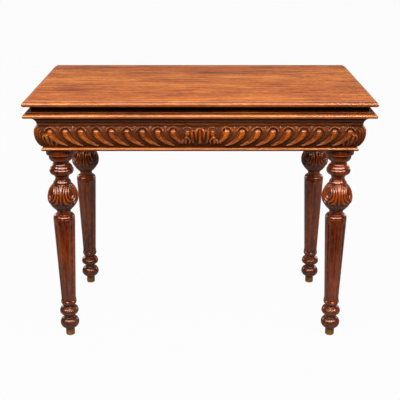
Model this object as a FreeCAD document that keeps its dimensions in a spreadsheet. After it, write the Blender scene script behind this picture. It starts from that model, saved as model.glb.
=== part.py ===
import FreeCAD
import Part
import Sketcher
import os
import re

doc = FreeCAD.newDocument("GamesTable")
sizes = doc.addObject("Spreadsheet::Sheet", "Sizes")
places = doc.addObject("Spreadsheet::Sheet", "Places")
trial = doc.addObject("Spreadsheet::Sheet", "Trial")

# Driving sizes in millimetres. A "set" is how far a face stands back from the outermost edge of the top,
# and a leg's inset is how far its middle stands in from the outside of the rails.
overall = (
    ("top_width", "914"),
    ("top_depth", "508"),
    ("top_height", "710"),
    ("leaf_thickness", "22.3"),
    ("leaf_gap", "0.4"),
    ("swivel_gap", "0.3"),
)
leaf_edge = (
    ("upper_nose_height", "15"),
    ("upper_nose_rise", "6.2"),
    ("upper_nose_under", "5.6"),
    ("lower_nose_height", "13.6"),
    ("lower_nose_rise", "4.2"),
    ("lower_nose_under", "3.2"),
    ("fillet_set", "8.5"),
    ("fillet_step", "3.4"),
    ("field_set", "20"),
)
cloth = (
    ("baize_thickness", "1"),
    ("baize_recess", "1.2"),
    ("baize_end_set", "60"),
    ("baize_front_set", "60"),
    ("baize_back_set", "12"),
)
frame_sizes = (
    ("rail_height", "97.7"),
    ("rail_set", "44"),
    ("rail_thickness", "22"),
    ("bead_height", "9"),
    ("bead_set", "37"),
    ("frieze_height", "65"),
    ("frieze_top_set", "28.8"),
    ("frieze_belly_set", "21.4"),
    ("frieze_belly_rise", "43.5"),
    ("frieze_foot_set", "36.5"),
    ("cove_top_set", "19"),
    ("cove_lip", "3.5"),
    ("cove_hollow", "1.6"),
    ("cove_foot_set", "30.5"),
    ("cove_foot", "4.5"),
    ("block_size", "50"),
    ("block_height", "28"),
    ("floor_thickness", "6"),
    ("floor_clearance", "0.3"),
    ("bearer_width", "90"),
    ("bearer_thickness", "22"),
)
leg_sizes = (
    ("front_leg_inset", "36"),
    ("back_leg_inset", "51"),
    ("leg_end_inset", "38"),
    ("spigot_radius", "10"),
    ("spigot_length", "24"),
    ("spigot_clearance", "0.1"),
    ("flute_radius", "6.5"),
    ("flute_depth", "2.6"),
    ("flute_start", "9"),
    ("flute_overrun", "11"),
    ("flute_count", "8"),
    ("ferrule_height", "23.5"),
    ("ferrule_radius", "12.8"),
    ("ferrule_edge", "2"),
    ("ferrule_floor", "2"),
    ("peg_radius", "11.2"),
    ("peg_clearance", "0.1"),
    ("toe_radius", "14.2"),
)
pivot_sizes = (
    ("bolt_radius", "8"),
    ("bolt_head_radius", "14"),
    ("bolt_head_height", "3"),
    ("bolt_end", "3"),
    ("running_clearance", "0.05"),
    ("bush_wall", "4"),
    ("plate_radius", "45"),
    ("plate_thickness", "4"),
    ("plate_screw_out", "23"),
    ("washer_radius", "18"),
    ("washer_thickness", "2"),
    ("washer_gap", "0.2"),
    ("nut_radius", "15"),
    ("nut_height", "10"),
    ("stop_peg_radius", "8"),
    ("stop_peg_hang", "18"),
    ("stop_peg_root", "9"),
    ("stop_clearance", "0.3"),
)
hinge_sizes = (
    ("hinge_end_set", "24"),
    ("hinge_width", "32"),
    ("hinge_gauge", "2"),
    ("flap_length", "36"),
    ("knuckle_radius", "3.5"),
    ("knuckle_length", "9"),
    ("hinge_clearance", "0.3"),
    ("hinge_pin_radius", "1.6"),
    ("edge_gap", "0.3"),
    ("flap_screw_in", "8"),
    ("flap_screw_near", "10"),
    ("flap_screw_far", "27"),
)
screw_sizes = (
    ("brass_shank", "1.5"),
    ("brass_head", "3.2"),
    ("brass_head_height", "1.7"),
    ("brass_length", "11"),
    ("block_shank", "2.4"),
    ("block_head", "4.8"),
    ("block_head_height", "2.6"),
    ("block_screw_length", "62"),
    ("block_screw_in", "6"),
    ("block_screw_low", "9"),
    ("block_screw_high", "19"),
)

# The turned leg from the rail down to the top of its column: station, radius, drop from the last station.
# A station marked "round" is the middle of a curve between its neighbours.
upper_turning = (
    ("abacus", "39", "17"),
    ("cap", "33.4", "1.5"),
    ("cap_foot", "32.6", "8.5"),
    ("cap_round", "30.4", "6", "round"),
    ("neck_top", "22.6", "5.5"),
    ("neck", "21.2", "4.5", "round"),
    ("neck_foot", "24", "5.5"),
    ("shoulder", "27.4", "3.5", "round"),
    ("shoulder_foot", "29.6", "4"),
    ("quirk", "28.2", "1"),
    ("ring", "32.6", "7.5", "round"),
    ("ring_foot", "26", "11"),
    ("waist", "18.3", "11", "round"),
    ("waist_foot", "19.2", "5.5"),
    ("collar", "22.4", "3.5", "round"),
    ("collar_foot", "24.4", "4.5"),
    ("collar_quirk", "23.2", "1.5"),
    ("bulb", "42.4", "41"),
    ("bulb_foot", "19.6", "37.5"),
    ("throat", "18.9", "6.5", "round"),
    ("throat_foot", "19.6", "6"),
    ("crown", "26.8", "3", "round"),
    ("crown_foot", "29.4", "5"),
    ("rim", "28.4", "1.5"),
    ("column_top", "29.8", "2.5"),
)
# The foot of the leg from the ferrule up to the foot of the column: station, radius, rise from the last one.
lower_turning = (
    ("ball", "26.8", "17", "round"),
    ("ball_top", "17", "15"),
    ("ball_fillet", "15", "1.5"),
    ("foot_neck", "14.2", "4.5", "round"),
    ("knop_foot", "15.6", "5"),
    ("knop", "26.4", "12.5", "round"),
    ("knop_quirk", "23.8", "5.2"),
    ("knop_arris", "24.4", "0.8"),
    ("knop_shoulder", "20", "4", "round"),
    ("knop_top", "15.4", "3"),
    ("ankle", "16", "3.5"),
    ("cuff", "20.8", "5.5", "round"),
    ("cuff_top", "22", "5.5"),
    ("column_foot", "20.3", "12"),
)

# Places worked out from the driving sizes.
worked_out = [
    ("half_width", "top_width/2"),
    ("half_depth", "top_depth/2"),
    ("rail_low", "top_height - 2*leaf_thickness - leaf_gap - swivel_gap - rail_height"),
    ("rail_top", "rail_low + rail_height"),
    ("lower_low", "rail_top + swivel_gap"),
    ("lower_face", "lower_low + leaf_thickness"),
    ("upper_face", "lower_face + leaf_gap"),
    ("fold_height", "lower_face + leaf_gap/2"),
    ("hinge_back", "half_depth - knuckle_radius"),
    ("back_edge", "hinge_back - edge_gap"),
    ("rail_out_side", "half_width - rail_set"),
    ("rail_in_side", "rail_out_side - rail_thickness"),
    ("rail_out_front", "half_depth - rail_set"),
    ("rail_in_front", "rail_out_front - rail_thickness"),
    ("front_leg_out", "rail_out_side - front_leg_inset"),
    ("back_leg_out", "rail_out_side - back_leg_inset"),
    ("leg_forward", "rail_out_front - leg_end_inset"),
    ("frieze_low", "rail_low + bead_height"),
    ("frieze_top", "frieze_low + frieze_height"),
    ("frieze_belly", "frieze_low + frieze_belly_rise"),
    ("block_top", "rail_low + block_height"),
    ("bearer_low", "rail_top - bearer_thickness"),
    ("pivot_out", "hinge_back/2"),
    ("bolt_neck", "lower_low + plate_thickness"),
    ("washer_top", "bearer_low - washer_gap"),
    ("nut_top", "washer_top - washer_thickness"),
    ("nut_low", "nut_top - nut_height"),
    ("stop_peg_out", "bearer_width/2 + stop_peg_radius + stop_clearance"),
    ("hinge_right", "half_width - hinge_end_set - hinge_width"),
    ("hinge_left", "hinge_end_set - half_width"),
    ("flap_end", "hinge_back - knuckle_radius - hinge_clearance"),
    ("flap_start", "flap_end - flap_length"),
    ("knuckle_middle", "hinge_width - 2*knuckle_length - 2*hinge_clearance"),
    ("bore_radius", "hinge_pin_radius + running_clearance"),
]
level = "rail_low"
for station in upper_turning:
    worked_out.append((station[0] + "_level", f"{level} - {station[0]}_drop"))
    level = station[0] + "_level"
level = "ferrule_height"
for station in lower_turning:
    worked_out.append((station[0] + "_level", f"{level} + {station[0]}_rise"))
    level = station[0] + "_level"

worked_out += [
    ("column_taper", "(column_top_radius - column_foot_radius)/(column_top_level - column_foot_level)"),
    ("flute_stand", "flute_radius - flute_depth"),
    ("flute_bend", "flute_radius*sqrt(0.5)"),
    ("flute_tip_level", "column_top_level - flute_start"),
    ("flute_tip_out", "column_top_radius + flute_stand - column_taper*flute_start"),
    ("flute_end_level", "column_foot_level - flute_overrun"),
    ("flute_end_out", "column_foot_radius + flute_stand - column_taper*flute_overrun"),
]

driving = list(overall + leaf_edge + cloth + frame_sizes + leg_sizes)
driving += list(pivot_sizes + hinge_sizes + screw_sizes)
for station in upper_turning:
    driving.append((station[0] + "_radius", station[1]))
    driving.append((station[0] + "_drop", station[2]))
for station in lower_turning:
    driving.append((station[0] + "_radius", station[1]))
    driving.append((station[0] + "_rise", station[2]))

known = {}


def cells(text):
    return re.sub(r"[a-z]\w*", lambda word: known.get(word.group(), word.group()), text)


def fill(sheet, rows, formula):
    for line, (alias, text) in enumerate(rows, start=1):
        sheet.set(f"A{line}", alias)
        sheet.set(f"B{line}", "=" + cells(text) if formula else text)
        sheet.setAlias(f"B{line}", alias)
        known[alias] = f"{sheet.Name}.{alias}"


fill(sizes, driving, False)
fill(places, worked_out, True)
doc.recompute()


def value(text):
    trial.set("A1", "=" + cells(text))
    trial.recompute()
    return float(trial.get("A1"))


def bind(piece, **formulas):
    for name, text in formulas.items():
        piece.setExpression(name, cells(text))


def place(piece, x, y, z):
    for axis, text in (("x", x), ("y", y), ("z", z)):
        if text != "0":
            piece.setExpression(f"Placement.Base.{axis}", cells(text))


# Draws a closed outline. A point with a third entry is the middle of a curve between its neighbours.
def trace(sketch, points):
    spots = [FreeCAD.Vector(value(point[0]), value(point[1]), 0) for point in points]
    corners = [index for index, point in enumerate(points) if len(point) == 2]
    edges = []
    for turn, start in enumerate(corners):
        end = corners[(turn + 1) % len(corners)]
        straight = (start + 1) % len(points) == end
        if straight:
            edge = Part.LineSegment(spots[start], spots[end])
        else:
            edge = Part.ArcOfCircle(spots[start], spots[start + 1], spots[end])
        index = sketch.addGeometry(edge, False)
        head = 1 if sketch.getPoint(index, 1).isEqual(spots[start], 1e-6) else 2
        edges.append((index, head, start, straight))
    rules = []
    formulas = []

    def pin(index, end, point):
        for kind, text, axis in (("DistanceX", point[0], -2), ("DistanceY", point[1], -1)):
            if text == "0":
                rules.append(Sketcher.Constraint("PointOnObject", index, end, axis))
            else:
                formulas.append((len(rules), text))
                rules.append(Sketcher.Constraint(kind, -1, 1, index, end, value(text)))

    for turn, (index, head, start, straight) in enumerate(edges):
        follower = edges[(turn + 1) % len(edges)]
        rules.append(Sketcher.Constraint("Coincident", index, 3 - head, follower[0], follower[1]))
        pin(index, head, points[start])
        if not straight:
            middle = sketch.addGeometry(Part.Point(spots[start + 1]), True)
            rules.append(Sketcher.Constraint("PointOnObject", middle, 1, index))
            pin(middle, 1, points[start + 1])
    sketch.addConstraint(rules)
    for row, text in formulas:
        sketch.setExpression(f"Constraints[{row}]", cells(text))


# How far in a round stands half-way along its rise, if it leaves the upright smoothly and ends "inward" in.
def half_round(inward, rise):
    radius = f"(({inward})^2 + ({rise})^2)/(2*({inward}))"
    return f"({radius} - sqrt(({radius})^2 - ({rise})^2/4))"


facing = {
    "end": FreeCAD.Rotation(FreeCAD.Vector(1, 1, 1), 120),
    "front": FreeCAD.Rotation(FreeCAD.Vector(1, 0, 0), 90),
    "plan": FreeCAD.Rotation(),
}


def prism(name, plane, points, length):
    sketch = doc.addObject("Sketcher::SketchObject", name + "_outline")
    sketch.Placement = FreeCAD.Placement(FreeCAD.Vector(0, 0, 0), facing[plane])
    trace(sketch, points)
    solid = doc.addObject("Part::Extrusion", name)
    solid.Base = sketch
    solid.DirMode = "Normal"
    solid.Solid = True
    solid.Symmetric = True
    bind(solid, LengthFwd=length)
    return solid


def upright_sketch(body, name, points):
    sketch = body.newObject("Sketcher::SketchObject", name)
    plane = next(item for item in body.Origin.OriginFeatures if item.Role == "XZ_Plane")
    sketch.AttachmentSupport = (plane, [""])
    sketch.MapMode = "FlatFace"
    trace(sketch, points)
    return sketch


def turned(name, points, x, y):
    body = doc.addObject("PartDesign::Body", name)
    sketch = upright_sketch(body, name + "_outline", points)
    turning = body.newObject("PartDesign::Revolution", name + "_turning")
    turning.Profile = sketch
    turning.ReferenceAxis = (sketch, ["V_Axis"])
    turning.Angle = 360
    place(body, x, y, "0")
    return body


def board(name, x, y, z, length, width, height):
    piece = doc.addObject("Part::Box", name)
    bind(piece, Length=length, Width=width, Height=height)
    place(piece, x, y, z)
    return piece


upright = FreeCAD.Rotation()
across = FreeCAD.Rotation(FreeCAD.Vector(0, 1, 0), 90)


def rod(name, x, y, z, radius, length, turn=upright):
    piece = doc.addObject("Part::Cylinder", name)
    piece.Placement = FreeCAD.Placement(FreeCAD.Vector(0, 0, 0), turn)
    bind(piece, Radius=radius, Height=length)
    place(piece, x, y, z)
    return piece


def join(name, *pieces):
    whole = doc.addObject("Part::MultiFuse", name)
    whole.Shapes = list(pieces)
    return whole


def cut(name, base, *tools):
    rest = doc.addObject("Part::Cut", name)
    rest.Base = base
    rest.Tool = tools[0] if len(tools) == 1 else join(name + "_cutters", *tools)
    return rest


def overlap(name, first, second):
    shared = doc.addObject("Part::Common", name)
    shared.Base = first
    shared.Tool = second
    return shared


def group(name, pieces):
    many = doc.addObject("Part::Compound", name)
    many.Links = list(pieces)
    return many


# A countersunk screw: its flush head is at the given spot and its shank runs down before it is turned.
def screw(name, kind, length, x, y, z, turn):
    head = doc.addObject("Part::Cone", name + "_head")
    bind(head, Radius1=kind + "_shank", Radius2=kind + "_head", Height=kind + "_head_height")
    place(head, "0", "0", f"-{kind}_head_height")
    shank = rod(name + "_shank", "0", "0", "-" + length, kind + "_shank", f"{length} - {kind}_head_height")
    whole = join(name, head, shank)
    whole.Placement = FreeCAD.Placement(FreeCAD.Vector(0, 0, 0), turn)
    place(whole, x, y, z)
    return whole


pointing = {
    "down": FreeCAD.Rotation(),
    "up": FreeCAD.Rotation(FreeCAD.Vector(1, 0, 0), 180),
    "left": FreeCAD.Rotation(FreeCAD.Vector(0, 1, 0), 90),
    "right": FreeCAD.Rotation(FreeCAD.Vector(0, 1, 0), -90),
    "front": FreeCAD.Rotation(FreeCAD.Vector(1, 0, 0), -90),
    "back": FreeCAD.Rotation(FreeCAD.Vector(1, 0, 0), 90),
}
nodes = []

# Mouldings round the frame: each is one section, mitred where it meets its neighbours at the corners.
frieze_upper = half_round("frieze_top_set - frieze_belly_set", "frieze_height - frieze_belly_rise")
frieze_lower = half_round("frieze_foot_set - frieze_belly_set", "frieze_belly_rise")
sections = {
    "cove": (
        ("rail_set", "rail_top"),
        ("cove_top_set", "rail_top"),
        ("cove_top_set", "rail_top - cove_lip"),
        (
            "(cove_top_set + cove_foot_set)/2 + cove_hollow",
            "(rail_top - cove_lip + frieze_top + cove_foot)/2 + cove_hollow",
            "round",
        ),
        ("cove_foot_set", "frieze_top + cove_foot"),
        ("cove_foot_set", "frieze_top"),
        ("rail_set", "frieze_top"),
    ),
    "frieze": (
        ("rail_set", "frieze_top"),
        ("frieze_top_set", "frieze_top"),
        (f"frieze_belly_set + {frieze_upper}", "(frieze_belly + frieze_top)/2", "round"),
        ("frieze_belly_set", "frieze_belly"),
        (f"frieze_belly_set + {frieze_lower}", "(frieze_belly + frieze_low)/2", "round"),
        ("frieze_foot_set", "frieze_low"),
        ("rail_set", "frieze_low"),
    ),
    "bead": (
        ("rail_set", "frieze_low"),
        ("bead_set + bead_height/2", "frieze_low"),
        ("bead_set", "rail_low + bead_height/2", "round"),
        ("bead_set + bead_height/2", "rail_low"),
        ("rail_set", "rail_low"),
    ),
}
sides = {
    "front": ("end", "half_depth", "-", "top_width"),
    "back": ("end", "half_depth", "", "top_width"),
    "left": ("front", "half_width", "-", "top_depth"),
    "right": ("front", "half_width", "", "top_depth"),
}
for kind, section in sections.items():
    for side, (plane, half, sign, length) in sides.items():
        name = f"{kind}_{side}"
        points = [(f"{sign}({half} - ({point[0]}))",) + point[1:] for point in section]
        strip = prism(name + "_strip", plane, points, length)
        if plane == "end":
            mitred = (
                ("-half_width", f"{sign}half_depth"),
                ("half_width", f"{sign}half_depth"),
                ("half_width - rail_set", f"{sign}(half_depth - rail_set)"),
                ("rail_set - half_width", f"{sign}(half_depth - rail_set)"),
            )
        else:
            mitred = (
                (f"{sign}half_width", "-half_depth"),
                (f"{sign}half_width", "half_depth"),
                (f"{sign}(half_width - rail_set)", "half_depth - rail_set"),
                (f"{sign}(half_width - rail_set)", "rail_set - half_depth"),
            )
        mitre = prism(name + "_mitre", "plan", mitred, "3*top_height")
        nodes.append(overlap(name, strip, mitre))

# Corner blocks with their leg bores, and the screws from them into the rails.
corners = {
    "front_left": ("-", "-", "front_leg_out", "left", "front"),
    "front_right": ("", "-", "front_leg_out", "right", "front"),
    "back_left": ("-", "", "back_leg_out", "left", "back"),
    "back_right": ("", "", "back_leg_out", "right", "back"),
}
screws_into = {"front": [], "back": [], "left": [], "right": []}
for corner, (x_sign, y_sign, leg_out, side, end) in corners.items():
    blank = board(
        f"block_{corner}_blank",
        "rail_in_side - block_size" if x_sign == "" else "-rail_in_side",
        "rail_in_front - block_size" if y_sign == "" else "-rail_in_front",
        "rail_low",
        "block_size",
        "block_size",
        "block_height",
    )
    bore = rod(
        f"block_{corner}_bore",
        x_sign + leg_out,
        y_sign + "leg_forward",
        "rail_low",
        "spigot_radius + spigot_clearance",
        "block_height",
    )
    side_screw = screw(
        f"screw_{corner}_{side}",
        "block",
        "block_screw_length",
        f"{x_sign}(rail_in_side - block_size)",
        f"{y_sign}(rail_in_front - block_size + block_screw_in)",
        "rail_low + block_screw_low",
        pointing[side],
    )
    end_screw = screw(
        f"screw_{corner}_{end}",
        "block",
        "block_screw_length",
        f"{x_sign}(rail_in_side - block_size + block_screw_in)",
        f"{y_sign}(rail_in_front - block_size)",
        "rail_low + block_screw_high",
        pointing[end],
    )
    screws_into[side].append(side_screw)
    screws_into[end].append(end_screw)
    nodes.append(cut(f"block_{corner}", blank, bore, side_screw, end_screw))
nodes.append(group("block_screws", sum(screws_into.values(), [])))

# Rails: the long pair runs through, the short pair stands between them.
rails = {
    "front": ("-rail_out_side", "-rail_out_front", "2*rail_out_side", "rail_thickness"),
    "back": ("-rail_out_side", "rail_in_front", "2*rail_out_side", "rail_thickness"),
    "left": ("-rail_out_side", "-rail_in_front", "rail_thickness", "2*rail_in_front"),
    "right": ("rail_in_side", "-rail_in_front", "rail_thickness", "2*rail_in_front"),
}
for side, (x, y, length, width) in rails.items():
    plank = board(f"{side}_rail_plank", x, y, "rail_low", length, width, "rail_height")
    nodes.append(cut(f"{side}_rail", plank, *screws_into[side]))

# Legs: turned, then fluted down the column.
leg_points = [
    ("0", "rail_low + spigot_length"),
    ("spigot_radius", "rail_low + spigot_length"),
    ("spigot_radius", "rail_low"),
    ("abacus_radius", "rail_low"),
]
bulb_rounds = {
    "bulb": half_round("bulb_radius - collar_quirk_radius", "bulb_drop"),
    "bulb_foot": half_round("bulb_radius - bulb_foot_radius", "bulb_foot_drop"),
}
for station in upper_turning:
    name = station[0]
    if name in bulb_rounds:
        leg_points.append((f"bulb_radius - {bulb_rounds[name]}", f"{name}_level + {name}_drop/2", "round"))
    leg_points.append((name + "_radius", name + "_level") + station[3:])
for station in reversed(lower_turning):
    leg_points.append((station[0] + "_radius", station[0] + "_level") + station[3:])
leg_points += [
    ("toe_radius", "ferrule_height"),
    ("peg_radius", "ferrule_height"),
    ("peg_radius", "ferrule_floor"),
    ("0", "ferrule_floor"),
]
flute_points = [
    ("flute_tip_out", "flute_tip_level"),
    ("flute_tip_out + flute_bend", "flute_tip_level - flute_radius + flute_bend", "round"),
    ("flute_tip_out + flute_radius", "flute_tip_level - flute_radius"),
    ("flute_end_out + flute_radius", "flute_end_level + flute_radius"),
    ("flute_end_out + flute_bend", "flute_end_level + flute_radius - flute_bend", "round"),
    ("flute_end_out", "flute_end_level"),
]
ferrule_bend = "ferrule_edge*(1 - sqrt(0.5))"
ferrule_points = [
    ("0", "0"),
    ("ferrule_radius - ferrule_edge", "0"),
    (f"ferrule_radius - {ferrule_bend}", ferrule_bend, "round"),
    ("ferrule_radius", "ferrule_edge"),
    ("ferrule_radius", "ferrule_height"),
    ("peg_radius + peg_clearance", "ferrule_height"),
    ("peg_radius + peg_clearance", "ferrule_floor"),
    ("0", "ferrule_floor"),
]
for corner, (x_sign, y_sign, leg_out, side, end) in corners.items():
    name = f"leg_{corner}"
    leg = turned(name, leg_points, x_sign + leg_out, y_sign + "leg_forward")
    upright_axis = next(item for item in leg.Origin.OriginFeatures if item.Role == "Z_Axis")
    sketch = upright_sketch(leg, name + "_flute_outline", flute_points)
    tip = FreeCAD.Vector(value("flute_tip_out"), value("flute_tip_level"), 0)
    end_spot = FreeCAD.Vector(value("flute_end_out"), value("flute_end_level"), 0)
    axis = sketch.addGeometry(Part.LineSegment(end_spot, tip), True)
    sketch.addConstraint(Sketcher.Constraint("Coincident", axis, 1, 3, 1))
    sketch.addConstraint(Sketcher.Constraint("Coincident", axis, 2, 3, 2))
    flute = leg.newObject("PartDesign::Groove", name + "_flute")
    flute.Profile = sketch
    flute.ReferenceAxis = (sketch, ["Axis0"])
    flute.Angle = 360
    flutes = leg.newObject("PartDesign::PolarPattern", name + "_flutes")
    flutes.Originals = [flute]
    flutes.Axis = (upright_axis, [""])
    flutes.Angle = 360
    bind(flutes, Occurrences="flute_count")
    leg.Tip = flutes
    nodes.append(leg)
    nodes.append(turned(f"ferrule_{corner}", ferrule_points, x_sign + leg_out, y_sign + "leg_forward"))

# The well inside the frame, and the cross rail that carries the pivot.
nodes.append(
    board(
        "well_floor",
        "floor_clearance - rail_in_side",
        "floor_clearance - rail_in_front",
        "block_top",
        "2*(rail_in_side - floor_clearance)",
        "2*(rail_in_front - floor_clearance)",
        "floor_thickness",
    )
)
bearer_blank = board(
    "pivot_bearer_blank",
    "pivot_out - bearer_width/2",
    "-rail_in_front",
    "bearer_low",
    "bearer_width",
    "2*rail_in_front",
    "bearer_thickness",
)
bush_seat = rod(
    "pivot_bush_seat",
    "pivot_out",
    "pivot_out",
    "bearer_low",
    "bolt_radius + running_clearance + bush_wall",
    "bearer_thickness",
)
nodes.append(cut("pivot_bearer", bearer_blank, bush_seat))
nodes.append(
    turned(
        "pivot_bush",
        [
            ("bolt_radius + running_clearance", "bearer_low"),
            ("bolt_radius + running_clearance + bush_wall", "bearer_low"),
            ("bolt_radius + running_clearance + bush_wall", "rail_top"),
            ("bolt_radius + running_clearance", "rail_top"),
        ],
        "pivot_out",
        "pivot_out",
    )
)

# What the top turns on: a plate let into the lower leaf, a headed bolt, a washer, a nut and a stop peg.
plate_screws = []
for number, (x_sign, y_sign) in enumerate((("-", "-"), ("+", "-"), ("-", "+"), ("+", "+"))):
    plate_screws.append(
        screw(
            f"plate_screw_{number}",
            "brass",
            "brass_length",
            f"pivot_out {x_sign} plate_screw_out",
            f"pivot_out {y_sign} plate_screw_out",
            "lower_low",
            pointing["up"],
        )
    )
on_pivot = ("pivot_out", "pivot_out")
plate_blank = rod("pivot_plate_blank", *on_pivot, "lower_low", "plate_radius", "plate_thickness")
plate_hole = rod("pivot_plate_hole", *on_pivot, "lower_low", "bolt_radius", "plate_thickness")
nodes.append(cut("pivot_plate", plate_blank, plate_hole, *plate_screws))
nodes.append(group("plate_screws", plate_screws))
nodes.append(
    turned(
        "pivot_bolt",
        [
            ("0", "nut_low - bolt_end"),
            ("bolt_radius", "nut_low - bolt_end"),
            ("bolt_radius", "bolt_neck"),
            ("bolt_head_radius", "bolt_neck"),
            ("bolt_head_radius", "bolt_neck + bolt_head_height"),
            ("0", "bolt_neck + bolt_head_height"),
        ],
        "pivot_out",
        "pivot_out",
    )
)
nodes.append(
    turned(
        "pivot_washer",
        [
            ("bolt_radius + running_clearance", "nut_top"),
            ("washer_radius", "nut_top"),
            ("washer_radius", "washer_top"),
            ("bolt_radius + running_clearance", "washer_top"),
        ],
        "pivot_out",
        "pivot_out",
    )
)
nut_blank = doc.addObject("Part::Prism", "pivot_nut_blank")
nut_blank.Polygon = 6
bind(nut_blank, Circumradius="nut_radius", Height="nut_height")
place(nut_blank, "pivot_out", "pivot_out", "nut_low")
nut_hole = rod("pivot_nut_hole", "pivot_out", "pivot_out", "nut_low", "bolt_radius", "nut_height")
nodes.append(cut("pivot_nut", nut_blank, nut_hole))
stop_peg = rod(
    "stop_peg",
    "pivot_out + stop_peg_out",
    "pivot_out - stop_peg_out",
    "lower_low - stop_peg_hang",
    "stop_peg_radius",
    "stop_peg_hang + stop_peg_root",
)
nodes.append(stop_peg)

# Hinges at the ends of the back edge: the lower flap has the outer knuckles, the upper one the middle one.
hinge_cutters = {"lower": [], "upper": []}
hinge_screws = {"lower": [], "upper": []}
pins = []
for side, hinge_at in (("left", "hinge_left"), ("right", "hinge_right")):
    axle = (hinge_at, "hinge_back", "fold_height")
    pins.append(rod(f"hinge_pin_{side}", *axle, "hinge_pin_radius", "hinge_width", across))
    outer = ((hinge_at, "knuckle_length"), (f"{hinge_at} + hinge_width - knuckle_length", "knuckle_length"))
    inner = ((f"{hinge_at} + knuckle_length + hinge_clearance", "knuckle_middle"),)
    for leaf, knuckles, flap_low, way in (
        ("lower", outer, "lower_face - hinge_gauge", "down"),
        ("upper", inner, "upper_face", "up"),
    ):
        name = f"hinge_{leaf}_{side}"
        corner = (hinge_at, "flap_start", flap_low)
        metal = [board(name + "_flap", *corner, "hinge_width", "flap_length", "hinge_gauge")]
        for number, (start, length) in enumerate(knuckles):
            metal.append(
                board(
                    f"{name}_tongue_{number}",
                    start,
                    "flap_end - hinge_gauge",
                    flap_low,
                    length,
                    "hinge_back - flap_end + hinge_gauge",
                    "hinge_gauge",
                )
            )
            metal.append(
                rod(
                    f"{name}_knuckle_{number}",
                    start,
                    "hinge_back",
                    "fold_height",
                    "knuckle_radius",
                    length,
                    across,
                )
            )
        bore = rod(name + "_bore", *axle, "bore_radius", "hinge_width", across)
        screws = []
        for number, (inset, back) in enumerate(
            (
                ("flap_screw_in", "flap_screw_near"),
                ("hinge_width - flap_screw_in", "flap_screw_near"),
                ("hinge_width/2", "flap_screw_far"),
            )
        ):
            screws.append(
                screw(
                    f"{leaf}_{side}_screw_{number}",
                    "brass",
                    "brass_length",
                    f"{hinge_at} + {inset}",
                    f"flap_end - {back}",
                    f"{leaf}_face",
                    pointing[way],
                )
            )
        nodes.append(cut(name, join(name + "_metal", *metal), bore, *screws))
        hinge_screws[leaf] += screws
        mortise = board(name + "_mortise", *corner, "hinge_width", "hinge_back - flap_start", "hinge_gauge")
        recess = rod(
            name + "_recess",
            f"{hinge_at} - hinge_clearance",
            "hinge_back",
            "fold_height",
            "knuckle_radius + hinge_clearance",
            "hinge_width + 2*hinge_clearance",
            across,
        )
        hinge_cutters[leaf] += [mortise, recess] + screws
nodes.append(group("hinge_pins", pins))
nodes.append(group("lower_hinge_screws", hinge_screws["lower"]))
nodes.append(group("upper_hinge_screws", hinge_screws["upper"]))


# The two leaves: moulded on three edges, square at the hinged edge, with a raised field on the inner face.
def nose(leaf, low):
    height, rise, under = f"{leaf}_nose_height", f"{leaf}_nose_rise", f"{leaf}_nose_under"
    below = half_round(under, rise)
    above = half_round("fillet_set", f"{height} - fillet_step - {rise}")
    return [
        (under, low),
        (below, f"{low} + {rise}/2", "round"),
        ("0", f"{low} + {rise}"),
        (above, f"{low} + ({height} - fillet_step + {rise})/2", "round"),
        ("fillet_set", f"{low} + {height} - fillet_step"),
        ("fillet_set", f"{low} + {height}"),
    ]


edges = {
    "lower": nose("lower", "lower_low")
    + [("field_set", "lower_low + lower_nose_height"), ("field_set", "lower_face")],
    "upper": [("field_set", "upper_face"), ("field_set", "top_height - upper_nose_height")]
    + nose("upper", "top_height - upper_nose_height"),
}
spans = {"lower": ("lower_low", "lower_face"), "upper": ("upper_face", "top_height")}
for leaf, edge in edges.items():
    right = [(f"half_width - ({point[0]})",) + point[1:] for point in edge]
    left = [(f"({point[0]}) - half_width",) + point[1:] for point in reversed(edge)]
    front = [(f"({point[0]}) - half_depth",) + point[1:] for point in edge]
    low, high = spans[leaf]
    width_way = prism(f"{leaf}_leaf_ends", "front", right + left, "2*top_depth")
    back = [("back_edge", high), ("back_edge", low)]
    depth_way = prism(f"{leaf}_leaf_front", "end", front + back, "top_width")
    blank = overlap(f"{leaf}_leaf_blank", width_way, depth_way)
    cloth_low = "lower_face - baize_recess" if leaf == "lower" else "upper_face"
    recess = board(
        f"{leaf}_baize_recess",
        "baize_end_set - half_width",
        "baize_front_set - half_depth",
        cloth_low,
        "2*(half_width - baize_end_set)",
        "back_edge - baize_back_set + half_depth - baize_front_set",
        "baize_recess",
    )
    cutters = [recess] + hinge_cutters[leaf]
    if leaf == "lower":
        cutters.append(rod("plate_seat", *on_pivot, "lower_low", "plate_radius", "plate_thickness"))
        cutters.append(rod("head_seat", *on_pivot, "bolt_neck", "bolt_head_radius", "bolt_head_height"))
        cutters += plate_screws + [stop_peg]
    nodes.append(cut(f"{leaf}_leaf", blank, *cutters))
    nodes.append(
        board(
            f"{leaf}_baize",
            "baize_end_set - half_width",
            "baize_front_set - half_depth",
            "lower_face - baize_recess" if leaf == "lower" else "upper_face + baize_recess - baize_thickness",
            "2*(half_width - baize_end_set)",
            "back_edge - baize_back_set + half_depth - baize_front_set",
            "baize_thickness",
        )
    )

doc.recompute()
for item in doc.Objects:
    for state in item.State:
        if state in ("Invalid", "Error"):
            raise RuntimeError(f"{item.Label} did not build: {item.State}")
os.makedirs("parts", exist_ok=True)
for node in nodes:
    shape = node.Shape
    if shape.isNull() or not shape.isValid() or not shape.Solids:
        raise RuntimeError(f"{node.Label} is not a sound solid")
    shape.exportStep(f"parts/{node.Label}.step")
    print(node.Label, len(shape.Solids), round(shape.Volume, 1))
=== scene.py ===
import math

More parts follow.
